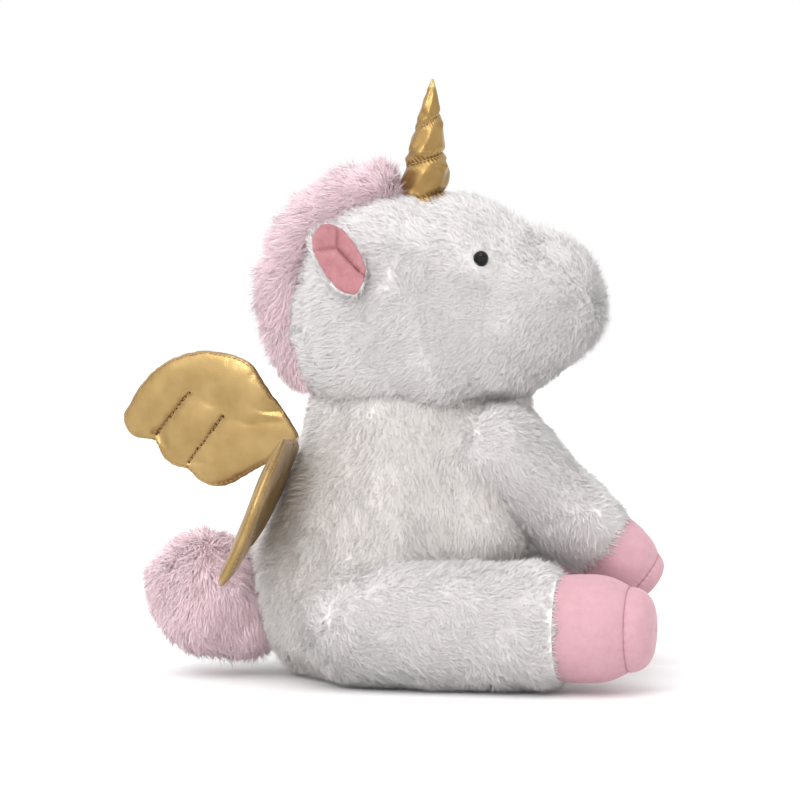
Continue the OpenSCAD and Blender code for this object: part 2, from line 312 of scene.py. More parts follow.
def grow(form, surface, count, length, width, flow, lift=0.38, clump=3.2, hold=0.14, wild=0.32, soft=0.95,
         swirl=0.5, rise=None, steps=2, keep=None, floor=None, long=None):
    """Fur on a surface: hairs that lean along flow(p, n) and gather into tufts.

    lift is how far tufts stand up, clump the distance between tufts, hold how tightly a tuft gathers, wild how
    much single hairs stray, swirl how much the lean wanders, and soft how far shading follows the skin.
    rise(p) adds to lift, keep(p) drops roots, and long(p) scales the length.
    """
    rng = RNG
    roots = scatter(*surface, count, rng)
    if keep is not None:
        roots = roots[keep(roots)]
    out = gradient(form, roots)
    size = np.full(len(roots), float(length)) if long is None else length * long(roots)
    size = size * rng.uniform(0.75, 1.15, len(roots)) * (1 + 0.15 * noise(roots, 9, 4))
    corners = surface[0][surface[1]]
    sides = np.cross(corners[:, 1] - corners[:, 0], corners[:, 2] - corners[:, 0])
    area = np.linalg.norm(sides, axis=1).sum() / 2
    tufts = roots[rng.choice(len(roots), max(8, int(len(roots) / count * area / clump ** 2)), replace=False)]
    tuft_out = gradient(form, tufts)
    tuft_lean = unit(flow(tufts, tuft_out) + swirl * noise3(tufts, 16) + 0.22 * rng.normal(size=tufts.shape))
    tuft_lean = unit(tuft_lean - (tuft_lean * tuft_out).sum(-1, keepdims=True) * tuft_out)
    lifts = lift + (0 if rise is None else rise(tufts))
    tuft_lift = np.clip(lifts + 0.09 * rng.normal(size=len(tufts)), 0.15, 0.97)[:, None]
    tuft_way = unit(tuft_out * tuft_lift + tuft_lean * (1 - tuft_lift))
    which = nearest(roots, tufts)
    way = unit(tuft_way[which] + wild * rng.normal(size=roots.shape))
    tip = roots + way * size[:, None]
    gather = tufts[which] + tuft_way[which] * size[:, None]
    pull = (hold * rng.uniform(0.5, 1.15, len(roots)))[:, None]
    tip = tip + (gather - tip) * pull
    mid = roots + (out * 0.65 + way * 0.35) * size[:, None] * 0.5
    if floor is not None:
        tip[:, 2] = np.maximum(tip[:, 2], floor + 0.3 * rng.random(len(tip)))
        mid[:, 2] = np.maximum(mid[:, 2], floor + 0.3)
    puff = unit(out + 0.3 * unit(roots - tufts[which]) + 0.2 * way)
    tuft_shade = rng.integers(0, SHADES, len(tufts))
    shade = np.where(rng.random(len(roots)) < 0.6, tuft_shade[which],
                     rng.integers(0, SHADES, len(roots)))
    return dict(roots=roots - out * 0.6, mids=mid, tips=tip, width=width * rng.uniform(0.7, 1.2, len(roots)),
                out=puff, shade=shade, soft=soft, steps=steps, count=count)


def sew_pile(name, body, coat, centre, pole, materials):
    """The hairs as gores round the pole, each one piece."""
    tris_each = 6 * (coat["steps"] - 1) + 3
    panels = math.ceil(coat["count"] / DENSITY * tris_each / PANEL_TRIS)
    side, other = basis(unit(pole))
    around = coat["roots"] - np.asarray(centre, float)
    order = np.argsort(np.arctan2(around @ other, around @ side))
    for i, chosen in enumerate(np.array_split(order, panels)):
        chosen_hairs = (coat[k][chosen] for k in ("roots", "mids", "tips", "width", "out"))
        points, tris, normals, per = strands(*chosen_hairs, coat["soft"], steps=coat["steps"])
        piece = mesh_object(f"{name}_{i + 1}" if panels > 1 else name, points, tris, normals,
                            np.repeat(coat["shade"][chosen], per), materials)
        declare(piece, body)


# ---------------------------------------------------------------- materials

class Finish:
    """A Principled material, with short ways to give it detail in the object's own space."""

    def __init__(self, name, colour, roughness, **sockets):
        self.material = bpy.data.materials.new(name)
        self.material.use_nodes = True
        self.nodes, self.links = self.material.node_tree.nodes, self.material.node_tree.links
        self.inputs = self.nodes["Principled BSDF"].inputs
        self.inputs["Base Color"].default_value = (*colour, 1)
        self.inputs["Roughness"].default_value = roughness
        for key, value in sockets.items():
            self.inputs[key.replace("_", " ")].default_value = value

    def texture(self, kind, output, **settings):
        node, place = self.nodes.new(f"ShaderNodeTex{kind}"), self.nodes.new("ShaderNodeTexCoord")
        self.links.new(place.outputs["Object"], node.inputs["Vector"])
        for key, value in settings.items():
            node.inputs[key].default_value = value
        return node.outputs[output]

    def roughness(self, source, low, high):
        node = self.nodes.new("ShaderNodeMapRange")
        node.inputs["To Min"].default_value = low
        node.inputs["To Max"].default_value = high
        self.links.new(source, node.inputs["Value"])
        self.links.new(node.outputs["Result"], self.inputs["Roughness"])

    def colour(self, source, deep, pale, low, high):
        node = self.nodes.new("ShaderNodeValToRGB")
        for stop, shade, position in zip(node.color_ramp.elements, (deep, pale), (low, high)):
            stop.color = (*shade, 1)
            stop.position = position
        self.links.new(source, node.inputs["Fac"])
        self.links.new(node.outputs["Color"], self.inputs["Base Color"])

    def relief(self, source, strength, distance):
        node = self.nodes.new("ShaderNodeBump")
        node.inputs["Strength"].default_value = strength
        node.inputs["Distance"].default_value = distance
        self.links.new(source, node.inputs["Height"])
        self.links.new(node.outputs["Normal"], self.inputs["Normal"])

    def fibres(self, scale, low, high, bump):
        """Roughness that varies from fibre to fibre, and a fine fibrous relief."""
        grain = self.texture("Noise", "Fac", Scale=scale, Detail=3)
        self.roughness(grain, low, high)
        self.relief(grain, bump, 0.0003)


def fur_material(name, colour, tint=(1, 1, 1), sheen=0.35):
    fur = Finish(name, colour, 0.85, Sheen_Weight=sheen, Sheen_Roughness=0.4, Sheen_Tint=(*tint, 1),
                 Specular_IOR_Level=0.2)
    fur.fibres(900, 0.7, 0.95, 0.15)
    return fur.material


def shades(name, colours, **options):
    return [fur_material(f"{name}_{i}", c, **options) for i, c in enumerate(colours)]


# Each fur has SHADES colours.
WHITE_FUR = shades("white_fur", [(0.892, 0.86, 0.851), (0.9, 0.87, 0.863), (0.883, 0.85, 0.841)])
# A darker, warmer copy of the white fur for the body and neck: partly a creamier tone, partly painted shade
# for the lower body and the neck under the head.
SHADED_CREAM_FUR = shades("shaded_cream_fur", [(0.847, 0.802, 0.776), (0.855, 0.812, 0.79), (0.838, 0.792, 0.765)])
PINK_FUR = shades("pink_fur", [(1.0, 0.765, 0.822), (1.0, 0.79, 0.847), (0.999, 0.74, 0.797)],
                  tint=(1, 0.8, 0.86), sheen=0.1)


def velour_material(name, deep, pale):
    """Short pile: cloudy colour, a fine nap and a soft sheen."""
    velour = Finish(name, pale, 0.8, Sheen_Weight=0.3, Sheen_Roughness=0.35, Sheen_Tint=(1, 0.85, 0.88, 1),
                    Specular_IOR_Level=0.2)
    velour.colour(velour.texture("Noise", "Fac", Scale=220, Detail=6, Roughness=0.65), deep, pale, 0.3, 0.68)
    velour.relief(velour.texture("Noise", "Fac", Scale=1700), 0.35, 0.0004)
    return velour.material


def gold_material(name, deep, pale):
    """Metallic leatherette: satin gold with a fine pebble grain, and colour and roughness that vary in random
    patches.
    """
    gold = Finish(name, (0.6, 0.4, 0.16), 0.34, Metallic=0.85, Coat_Weight=0.15, Coat_Roughness=0.35)
    patch = gold.texture("Noise", "Fac", Scale=60, Detail=5)
    gold.colour(patch, deep, pale, 0.25, 0.75)
    gold.roughness(patch, 0.22, 0.38)
    gold.relief(gold.texture("Voronoi", "Distance", Scale=1500), 0.22, 0.0002)
    return gold.material


def thread_material(name, colour):
    thread = Finish(name, colour, 0.6, Sheen_Weight=0.3)
    thread.fibres(3000, 0.5, 0.75, 0.3)
    return thread.material


def gloss_material(name, colour):
    gloss = Finish(name, colour, 0.03, Specular_IOR_Level=0.25)
    gloss.roughness(gloss.texture("Noise", "Fac", Scale=400), 0.02, 0.035)
    return gloss.material


VELOUR = velour_material("pink_velour", (0.505, 0.285, 0.325), (0.55, 0.325, 0.365))
EAR_VELOUR = velour_material("ear_velour", (0.375, 0.155, 0.168), (0.465, 0.216, 0.234))
GOLD = gold_material("gold_sheet", (0.3, 0.192, 0.067), (0.462, 0.316, 0.131))
# A darker copy of the wing gold for the horn: painted shade, because the horn catches more light from the
# tent.
HORN_GOLD_SHADED = gold_material("horn_gold_sheet_shaded", (0.235, 0.143, 0.043), (0.385, 0.245, 0.087))
GOLD_TIP = gold_material("gold_tip", (0.4, 0.3, 0.1), (0.6, 0.48, 0.2))
GOLD_THREAD = thread_material("gold_thread", (0.34, 0.2, 0.07))
WHITE_THREAD = thread_material("white_thread", (0.85, 0.84, 0.82))
POUCH_CLOTH = thread_material("pellets_in_cloth", (0.7, 0.66, 0.58))
WASHER = thread_material("washer_plastic", (0.85, 0.85, 0.83))
FIBRE = thread_material("fibre_stuffing", (0.9, 0.9, 0.88))
EYE_BLACK = gloss_material("black_eye", (0.003, 0.003, 0.004))

# ---------------------------------------------------------------- places, from the frame

HEAD_LOW, HEAD_HIGH = node_box("head_shell")
CRANIUM_R = (HEAD_HIGH[1] - HEAD_LOW[1]) / 2
SNOUT_R = 37
CRANIUM = np.array([HEAD_LOW[0] + CRANIUM_R, 0, HEAD_HIGH[2] - CRANIUM_R])
SNOUT = np.array([HEAD_HIGH[0] - SNOUT_R, 0, CRANIUM[2] - 3])
BODY_LOW, _ = node_box("body_shell")
BELLY_R = 62
CHEST_R = 49
BELLY = np.array([BODY_LOW[0] + BELLY_R, 0, 50])
CHEST = BELLY + np.array([15, 0, 68])
NECK = JOINT_AT["neck_nod"]
HORN_AT = JOINT_AT["horn_bend"]
TAIL_AT = JOINT_AT["tail_wag"]
INSET = 3.0          # the skin lies this far inside the CAD surface, and the pile fills the rest
FLOOR = 0.3
SIDES = {"right": -1, "left": 1}


def hairs(count):
    return int(count * DENSITY)


# ---------------------------------------------------------------- torso, neck and head

def lumps(p, size=22, height=1.1):
    return height * noise(p, size, 5)


def torso_form(p):
    d = taper(p, BELLY, CHEST, BELLY_R - INSET, CHEST_R - INSET)
    for side, sign in SIDES.items():
        d = join(d, ball(p, JOINT_AT[f"arm_{side}_swing"], 25 - INSET), 16)
        d = join(d, ball(p, JOINT_AT[f"leg_{side}_lift"], 31 - INSET), 14)
        d = join(d, ball(p, BELLY + (52, 24 * sign, 24), 28 - INSET), 22)
    d = join(d, ball(p, CHEST + (45, 0, 1), 26 - INSET), 12)
    return cut(d, FLOOR + 1 - p[..., 2], 3) - lumps(p)


def head_form(p):
    d = taper(p, CRANIUM, SNOUT, CRANIUM_R - INSET, SNOUT_R - INSET)
    d = join(d, ball(p, CRANIUM + (32, 0, 11), 40 - INSET), 12)
    d = join(d, ball(p, CRANIUM + (48, 0, -17), 37 - INSET), 10)
    d = join(d, ball(p, CRANIUM + (-9, 0, -15), 42 - INSET), 10)
    for y in (-1, 1):
        d = join(d, ball(p, CRANIUM + (18, 20 * y, -25), 34 - INSET), 12)
        d = join(d, ball(p, CRANIUM + (-12, 15 * y, -24), 34 - INSET), 10)
        d = join(d, ball(p, CRANIUM + (47, 13 * y, -20), 33 - INSET), 10)
    return d - lumps(p)


def neck_form(p):
    return ball(p, NECK + (9, 0, -3), 50, (1.0, 0.7, 0.34)) - lumps(p)


def down(p, n):
    return np.tile([0.0, 0.0, -1.0], (len(p), 1)) + 0.3 * n * [1, 1, 0]


def from_the_nose(p, n):
    """Away from the nose on every side, and down a little."""
    return unit(p - SNOUT - (SNOUT_R, 0, 2)) + [-0.3, 0, -0.3]


def up_at_the_nose(p):
    """The pile stands up where it parts round the nose."""
    return 0.45 * np.exp(-(np.linalg.norm(p - SNOUT - (SNOUT_R, 0, 2), axis=1) / 15) ** 2)


def clear_of(*forms, depth=4):
    """Keeps roots that aren't buried in another form."""
    return lambda p: np.all([f(p) > -depth for f in forms], axis=0)


def make_fur(name, body, nodes, form, centre, reach, count, materials, flow, slot, rings=70, sectors=96,
             pole=(0, 0, 1), fill=0.7, **options):
    """A stuffed skin, and the pile that grows from it."""
    surface = skin(form, centre, reach, rings, sectors, pole)
    piece = mesh_object(f"{name}_skin", *surface, gradient(form, surface[0]), materials=materials[:1])
    declare(piece, body, nodes)
    coat = grow(form, surface, hairs(count), flow=flow, **options)
    sew_pile(f"{name}_fur", body, coat, centre, pole, materials)


def arm_axis(side):
    start = JOINT_AT[f"arm_{side}_swing"]
    return start, unit(node_centre(f"front_sole_{side}") - start)


def leg_axis(side):
    start = JOINT_AT[f"leg_{side}_lift"]
    way = node_centre(f"hind_sole_{side}") - start
    way[2] = 0
    return start, unit(way)


def hoof_size(kind, side, start, way):
    """Where the hoof begins along the limb, its radius, and its length with the sole."""
    cuff = node_points(f"{kind}_hoof_{side}") - start
    along = cuff @ way
    radius = np.linalg.norm(cuff - along[:, None] * way, axis=1).max()
    end = ((node_points(f"{kind}_sole_{side}") - start) @ way).max()
    return along.min(), radius, end - along.min()


ARM_LEN, FRONT_HOOF_R, FRONT_HOOF_LEN = hoof_size("front", "right", *arm_axis("right"))
LEG_LEN, HIND_HOOF_R, HIND_HOOF_LEN = hoof_size("hind", "right", *leg_axis("right"))
ARM_R, WRIST_R = 26, 19.5
HIP_R, ANKLE_R = 32, 30


def limb_form(start, way, length, r1, r2):
    def form(p):
        d = taper(p, start, start + way * length, r1 - INSET + 0.5, r2 - INSET + 0.5) - lumps(p)
        return cut(d, (p - start) @ way - length - 1, 9)
    return form


ARM_FORMS = {s: limb_form(*arm_axis(s), ARM_LEN, ARM_R, WRIST_R) for s in SIDES}
LEG_FORMS = {s: limb_form(*leg_axis(s), LEG_LEN, HIP_R, ANKLE_R) for s in SIDES}


EYE_R = 5


def eye_place(side):
    """The eye's centre and its axis, from the washer behind the skin out through the dome."""
    back = node_points(f"eye_washer_{side}").mean(axis=0)
    points = node_points(f"eye_{side}")
    axis = unit(points.mean(axis=0) - back)
    return back + axis * (((points - back) @ axis).max() - EYE_R), axis


EYES = {s: eye_place(s) for s in SIDES}


def off_the_eyes(p):
    return np.all([np.linalg.norm(p - centre, axis=1) > EYE_R - 2.2 for centre, _ in EYES.values()], axis=0)


def short_by_the_eyes(p):
    away = np.min([np.linalg.norm(p - centre, axis=1) for centre, _ in EYES.values()], axis=0)
    return np.clip((away - 1) / 11, 0.3, 1)


WHITE = dict(length=5.8, width=0.42, materials=WHITE_FUR, slot="white_fur", floor=FLOOR)
# The body and neck wear the darker copy of the white fur: a creamier tone with painted shade.
SHADED_CREAM = {**WHITE, "materials": SHADED_CREAM_FUR}
make_fur("body", "trunk", ["body_shell"], torso_form, BELLY + (8, 0, 30), 120, 95000, flow=down,
         keep=clear_of(*ARM_FORMS.values(), *LEG_FORMS.values(), head_form, depth=6), **SHADED_CREAM)
make_fur("neck", "neck", [], neck_form, NECK, 80, 14000, flow=down, rings=30, fill=0.5, **SHADED_CREAM)
make_fur("head", "head", ["head_shell"], head_form, (CRANIUM + SNOUT) / 2, 120, 100000, flow=from_the_nose,
         pole=(1, 0, 0), keep=off_the_eyes, long=short_by_the_eyes, rise=up_at_the_nose, **WHITE)

for side in SIDES:
    for kind, forms, axis, length, count in (
            ("arm", ARM_FORMS, arm_axis, ARM_LEN, 26000), ("leg", LEG_FORMS, leg_axis, LEG_LEN, 52000)):
        start, way = axis(side)
        make_fur(f"{kind}_{side}", f"{kind}_{side}", [f"{kind}_shell_{side}"], forms[side],
                 start + way * length * 0.4, 140, count, pole=way,
                 flow=lambda p, n, way=way: np.tile(way + [0, 0, -0.3], (len(p), 1)),
                 keep=lambda p, start=start, way=way, length=length: (p - start) @ way < length + 0.3, **WHITE)

# ---------------------------------------------------------------- tail and mane

TAIL_LOW, TAIL_HIGH = node_box("tail_shell")
TAIL_R = (TAIL_HIGH[1] - TAIL_LOW[1]) / 2
TAIL_MID = np.array([TAIL_LOW[0] + TAIL_R, 0, (TAIL_LOW[2] + TAIL_HIGH[2]) / 2])
LONG_PILE = dict(width=0.62, wild=0.34, hold=0.18, soft=1.0, swirl=0.3, steps=3)


def tail_form(p):
    d = join(ball(p, TAIL_MID + (1, 0, 0), TAIL_R - 8), taper(p, TAIL_AT + (8, 0, 0), TAIL_MID, 9, 14), 8)
    d = join(d, ball(p, TAIL_MID + (21, 0, -13), 15), 10)
    return d - lumps(p)


make_fur("tail", "tail", ["tail_shell", "tail_stuffing"], tail_form, TAIL_MID, 80, 36000, flow=down, rings=40,
         sectors=60, length=10, floor=FLOOR, lift=0.36, clump=3.8, materials=PINK_FUR, slot="pink_fur",
         **LONG_PILE)

MANE_R = CRANIUM_R + 1
MANE_W = 8.5
MANE_FROM, MANE_TO = 94, 224     # degrees from straight forward, over the top of the head


def mane_form(p):
    q = p - CRANIUM
    wheel = np.hypot(q[..., 0], q[..., 2]) - MANE_R
    ring = np.hypot(wheel, q[..., 1]) - MANE_W
    angle = np.degrees(np.arctan2(q[..., 2], q[..., 0])) % 360
    ends = np.maximum(MANE_FROM - angle, angle - MANE_TO) * math.radians(MANE_R)
    return cut(ring, ends, 5) - 0.25 * lumps(p)


def arch(rings=60, sectors=24):
    """The mane's strip: a bent tube over the head, closed at both ends."""
    points = []
    for a in np.radians(np.linspace(MANE_FROM, MANE_TO, rings)):
        for b in np.arange(sectors) * 2 * math.pi / sectors:
            r = MANE_R + math.cos(b) * MANE_W
            points.append(CRANIUM + (r * math.cos(a), math.sin(b) * MANE_W, r * math.sin(a)))
    return closed_tube(np.array(points), rings, sectors)


def combed_back(p, n):
    """Up and away from the horn over the head, then down the nape."""
    return np.cross([0, -1, 0], unit(p - CRANIUM)) + [0.5, 0, 0.5] * unit(p - CRANIUM)


mane_surface = arch()
mane = mesh_object("mane_skin", *mane_surface, gradient(mane_form, mane_surface[0]), materials=PINK_FUR[:1])
declare(mane, "head", ["mane"])
mane_coat = grow(mane_form, mane_surface, hairs(48000), length=12, lift=0.42, clump=4, flow=combed_back,
                 keep=lambda p: head_form(p) > -2, **LONG_PILE)
sew_pile("mane_fur", "head", mane_coat, CRANIUM, (0, 1, 0), PINK_FUR)

# ---------------------------------------------------------------- hooves


def turned(profile, start, way, sectors, ripple=None):
    """A turned surface: profile is (along, radius) pairs, ripple adds to the radius by place."""
    side, up = basis(way)
    angles = np.arange(sectors) * 2 * math.pi / sectors
    points = []
    for along, radius in profile:
        for a in angles:
            extra = ripple(along, a) if ripple else 0
            points.append(start + way * along + (math.cos(a) * side + math.sin(a) * up) * (radius + extra))
    return np.array(points)


def hoof(kind, side, start, way, fur_len, r, length):
    """A velour cuff that rounds inwards, and a domed sole sewn to it with puckers along the seam."""
    seam_at = length * 0.72
    seam_r = r * 0.82
    dome_h = length - seam_at
    phase = RNG.uniform(0, 6.28)

    def pucker(along, a):
        near = math.exp(-((along - fur_len - seam_at) / 2.6) ** 2)
        slack = math.exp(-((along - fur_len - 3) / 9) ** 2)
        return (near * 0.28 * math.sin(30 * a + phase) + 0.3 * math.sin(3 * a + phase)
                + slack * 0.35 * math.sin(7 * a + 2 * phase))

    cuff = [(fur_len - 7 + 7 * t, r * (0.9 + 0.06 * t)) for t in np.linspace(0, 1, 6)]
    for t in np.linspace(0.03, 1, 34):
        rounding = 1 - max(0, (t - 0.45) / 0.55) ** 2.6 * (1 - seam_r / r)
        fullness = 0.965 + 0.04 * math.sin(math.pi * min(t, 1) ** 0.8)
        cuff.append((fur_len + seam_at * t, r * rounding * fullness))
    end_along, end_r = cuff[-1]
    cuff += [(end_along + 0.3, end_r - 0.7), (end_along - 0.6, end_r - 1.5)]
    dome = [(end_along - 0.9, end_r - 1.4), (end_along + 0.25, end_r - 0.75)]
    for t in np.linspace(0.03, 1, 28):
        dome.append((end_along + 0.3 + dome_h * math.sin(t * math.pi / 2) ** 0.9,
                     max(0.02, (end_r - 0.1) * math.cos(t * math.pi / 2) ** 0.62)))
    body = ("arm_" if kind == "front" else "leg_") + side
    for part, profile in (("hoof", cuff), ("sole", dome)):
        points = turned(profile, start, way, 120, pucker)
        tube = closed_tube(points, len(profile), 120)
        piece = mesh_object(f"{kind}_{part}_{side}_velour", *tube, materials=[VELOUR])
        declare(piece, body, [f"{kind}_{part}_{side}"])


for side in SIDES:
    hoof("front", side, *arm_axis(side), ARM_LEN, FRONT_HOOF_R, FRONT_HOOF_LEN)
    hoof("hind", side, *leg_axis(side), LEG_LEN, HIND_HOOF_R, HIND_HOOF_LEN)

# ---------------------------------------------------------------- threads


def stitches(name, body, node, material, segments, radius, sides=8):
    """Short raised stitches, each a capsule between two points."""
    points, tris = [], []
    for a, b in segments:
        way = unit(b - a)
        reach = np.linalg.norm(b - a)
        profile = [(0, radius * 0.1), (radius * 0.35, radius * 0.75), (radius * 1.1, radius),
                   (reach / 2, radius * 1.08), (reach - radius * 1.1, radius),
                   (reach - radius * 0.35, radius * 0.75), (reach, radius * 0.1)]
        tube, faces = closed_tube(turned(profile, a, way, sides), len(profile), sides)
        tris.append(faces + sum(len(p) for p in points))
        points.append(tube)
    piece = mesh_object(name, np.concatenate(points), np.concatenate(tris), materials=[material])
    declare(piece, body, [node])


# ---------------------------------------------------------------- horn

HORN_LEN, HORN_R = 61, 12
HORN_PITCH = 18.8        # along the horn, for one turn of the thread
GROOVE_FROM = 6.5        # height of the groove where it crosses the front of the horn
STITCHES_A_TURN = 15
HORN_LEAN = math.radians(4)
HORN_WAY = np.array([math.sin(HORN_LEAN), 0, math.cos(HORN_LEAN)])
HORN_ACROSS = np.array([math.cos(HORN_LEAN), 0, -math.sin(HORN_LEAN)]), np.array([0.0, 1.0, 0.0])


def horn_radius(z, a):
    """The twisted horn: fat between the turns of the thread, with soft wrinkles that run to the thread."""
    share = min(max(z, 0) / HORN_LEN, 1)
    cone = (HORN_R + 0.4) * (1 - share ** 1.25) ** 0.85 + 0.35
    turn = ((z - GROOVE_FROM) / HORN_PITCH - a / (2 * math.pi)) % 1.0
    from_groove = min(turn, 1 - turn) * HORN_PITCH
    depth = (0.21 + 0.07 * math.cos(a)) * min(1, (z + 8) / 14)
    groove = depth * math.exp(-(from_groove / (2.3 * (1 - 0.55 * share))) ** 1.4)
    pucker = 0.028 * math.sin(23 * a + 2.2 * z) * math.exp(-(from_groove / 2.2) ** 2)
    fold = 0.05 * math.sin(3 * a + 0.55 * z + 1.4 * math.sin(0.3 * z)) + 0.03 * math.sin(7 * a - 0.4 * z)
    return cone * (1.03 - groove + pucker + fold * (1 - math.exp(-(from_groove / 3) ** 2)))


def horn_point(z, a, lift=0.0):
    side, other = HORN_ACROSS
    return HORN_AT + HORN_WAY * z + (math.cos(a) * side + math.sin(a) * other) * (horn_radius(z, a) + lift)


def make_horn(rings=190, sectors=128):
    points = [horn_point(-4 + (HORN_LEN + 4) * i / rings, 2 * math.pi * j / sectors)
              for i in range(rings + 1) for j in range(sectors)]
    points, tris = closed_tube(np.array(points), rings + 1, sectors)
    heights = (points - HORN_AT) @ HORN_WAY
    tip = heights[tris].mean(axis=1) > HORN_LEN * 0.93
    # The horn wears the gold copy with painted shade; its tip faces wear the paler tip gold.
    horn = mesh_object("horn_gold", points, tris, slots=tip.astype(int), materials=[HORN_GOLD_SHADED, GOLD_TIP])
    declare(horn, "horn", ["horn_cover", "horn_stuffing"])
    turns = (HORN_LEN - 12 - GROOVE_FROM) / HORN_PITCH
    step = 2 * math.pi / STITCHES_A_TURN
    thread = []
    for i in range(int(turns * STITCHES_A_TURN)):
        angles = (i + 0.1) * step, (i + 0.9) * step
        thread.append([horn_point(GROOVE_FROM + HORN_PITCH * a / (2 * math.pi), a, 0.15) for a in angles])
    stitches("horn_twist_thread", "horn", "horn_thread", GOLD_THREAD, thread, 0.33)


make_horn()

# ---------------------------------------------------------------- wings

WING_SCALE = 0.985
WING_PUFF = 2.3          # half the wing's thickness before it is filled
PUFF_LIMIT = np.array([2.5, 2.5, 2.6])   # how far filling may move a point
TIP_TWIST = {"left": 0.0, "right": math.radians(-13)}
SETTLE = {"left": np.zeros(3), "right": np.array([5.0, 0, -3.5])}      # the pressed pile lets it rest closer
STITCH, STITCH_PITCH = 2.0, 2.7
FEATHER_SEAMS = [((58, 24), (76, 2)), ((39, 12), (58, -12))]


def arc(x, y, r, start, end, steps=12):
    angles = np.radians(np.linspace(start, end, steps))
    return [(x + r * math.cos(a), y + r * math.sin(a)) for a in angles]


def wing_outline(spacing=1.7):
    """The long rounded upper edge, the tip and two scallops below, at even steps."""
    corners = ([(-4, 3), (-1, 8)] + arc(47.6, -3.2, 50.3, 120, 24) + arc(84, 11, 12.5, 22, -62)
               + arc(62, 0, 15.5, -8, -88) + arc(42, -5, 20, -34, -122) + [(12, -11), (2, -7), (-3, -4)])
    loop = np.array(corners + corners[:1]) * WING_SCALE
    along = np.concatenate([[0], np.cumsum(np.linalg.norm(np.diff(loop, axis=0), axis=1))])
    at = np.linspace(0, along[-1], int(along[-1] / spacing), endpoint=False)
    line = np.stack([np.interp(at, along, loop[:, i]) for i in (0, 1)], 1)
    for _ in range(2):
        line = line * 0.5 + (np.roll(line, 1, 0) + np.roll(line, -1, 0)) * 0.25
    return line


def segment_distance(p, a, b):
    along = b - a
    t = np.clip((p - a) @ along / max(along @ along, 1e-9), 0, 1)
    return np.linalg.norm(p - a - t[..., None] * along, axis=-1)


def edge_distance(p, edge):
    return np.min([segment_distance(p, edge[i - 1], edge[i]) for i in range(len(edge))], axis=0)


def row_distance(p, rows):
    return np.min([segment_distance(p, r[0], r[-1]) for r in rows], axis=0)


def wing_mesh():
    """Two flat sheets that share their outline and their rows of stitches: points, triangles, edge, row."""
    edge = wing_outline()
    rows = []
    for a, b in FEATHER_SEAMS:
        a, b = np.array(a) * WING_SCALE, np.array(b) * WING_SCALE
        steps = int(np.linalg.norm(b - a) / 1.35)
        rows.append(a + (b - a) * np.linspace(0, 1, steps)[:, None])
    spacing = 2.1
    low, high = edge.min(0), edge.max(0)
    grid = []
    for j, v in enumerate(np.arange(low[1], high[1], spacing * 0.866)):
        for u in np.arange(low[0] + (j % 2) * spacing / 2, high[0], spacing):
            grid.append((u, v))
    grid = np.array(grid) + np.random.default_rng(5).normal(0, 0.22, (len(grid), 2))
    to_edge = edge_distance(grid, edge)
    to_rows = row_distance(grid, rows)
    grid = grid[(to_edge > 1.2) & (to_rows > 1.1)]
    flat = np.concatenate([edge, *rows, grid])
    loop = [list(range(len(edge)))]
    found, _, faces, origin, _, _ = delaunay_2d_cdt([Vector(p) for p in flat], [], loop, 1, 1e-4)
    flat = np.array([tuple(v) for v in found])
    kinds = np.array([min(o) if o else len(edge) for o in origin])
    on_edge = kinds < len(edge)
    on_row = (kinds >= len(edge)) & (kinds < len(edge) + sum(len(r) for r in rows))
    away = np.minimum(edge_distance(flat, edge), row_distance(flat, rows))
    height = WING_PUFF * (1 - np.exp(-away / 2.5))
    shared = on_edge | on_row
    height[shared] = 0
    top = np.column_stack([flat, height])
    bottom_index = np.arange(len(flat))
    free = np.flatnonzero(~shared)
    bottom_index[free] = len(flat) + np.arange(len(free))
    points = np.concatenate([top, np.column_stack([flat[free], -height[free]])])
    tris = np.array([tuple(f) for f in faces])
    tris = np.concatenate([tris, bottom_index[tris][:, ::-1]])
    return points, tris, np.flatnonzero(on_edge), np.flatnonzero(on_row)


def inflate(points, tris, pinned, pressure, frames=18, scale=10):
    """Fills a closed cloth shape with air, at ten times its size, and gives back where its points end up."""
    source = mesh_object("cloth_form", points * scale, tris)
    group = source.vertex_groups.new(name="pinned")
    group.add([int(i) for i in pinned], 1.0, "REPLACE")
    cloth = source.modifiers.new("Cloth", "CLOTH")
    cloth.settings.vertex_group_mass = "pinned"
    cloth.settings.quality = 5
    cloth.settings.mass = 0.3
    cloth.settings.tension_stiffness = 25
    cloth.settings.compression_stiffness = 25
    cloth.settings.shear_stiffness = 12
    cloth.settings.bending_stiffness = 1.5
    cloth.settings.use_pressure = True
    cloth.settings.uniform_pressure_force = pressure
    cloth.settings.effector_weights.gravity = 0
    cloth.point_cache.frame_start = 1
    cloth.point_cache.frame_end = frames
    for step in range(1, frames + 1):
        bpy.context.scene.frame_set(step)
    filled = mesh_points(source.evaluated_get(bpy.context.evaluated_depsgraph_get()).data) / scale
    mesh = source.data
    bpy.data.objects.remove(source)
    bpy.data.meshes.remove(mesh)
    bpy.context.scene.frame_set(1)
    return filled


def dashes(line, lift):
    """Stitches of one length along a line, lifted off it."""
    along = np.concatenate([[0], np.cumsum(np.linalg.norm(np.diff(line, axis=0), axis=1))])
    raised = line + lift
    at = np.arange(0.3, along[-1] - STITCH, STITCH_PITCH)
    ends = [np.stack([np.interp(at + d, along, raised[:, i]) for i in range(3)], 1) for d in (0, STITCH)]
    return list(zip(*ends))


def apply_modifiers(obj):
    result = bpy.data.meshes.new_from_object(obj.evaluated_get(bpy.context.evaluated_depsgraph_get()))
    obj.modifiers.clear()
    obj.data = result


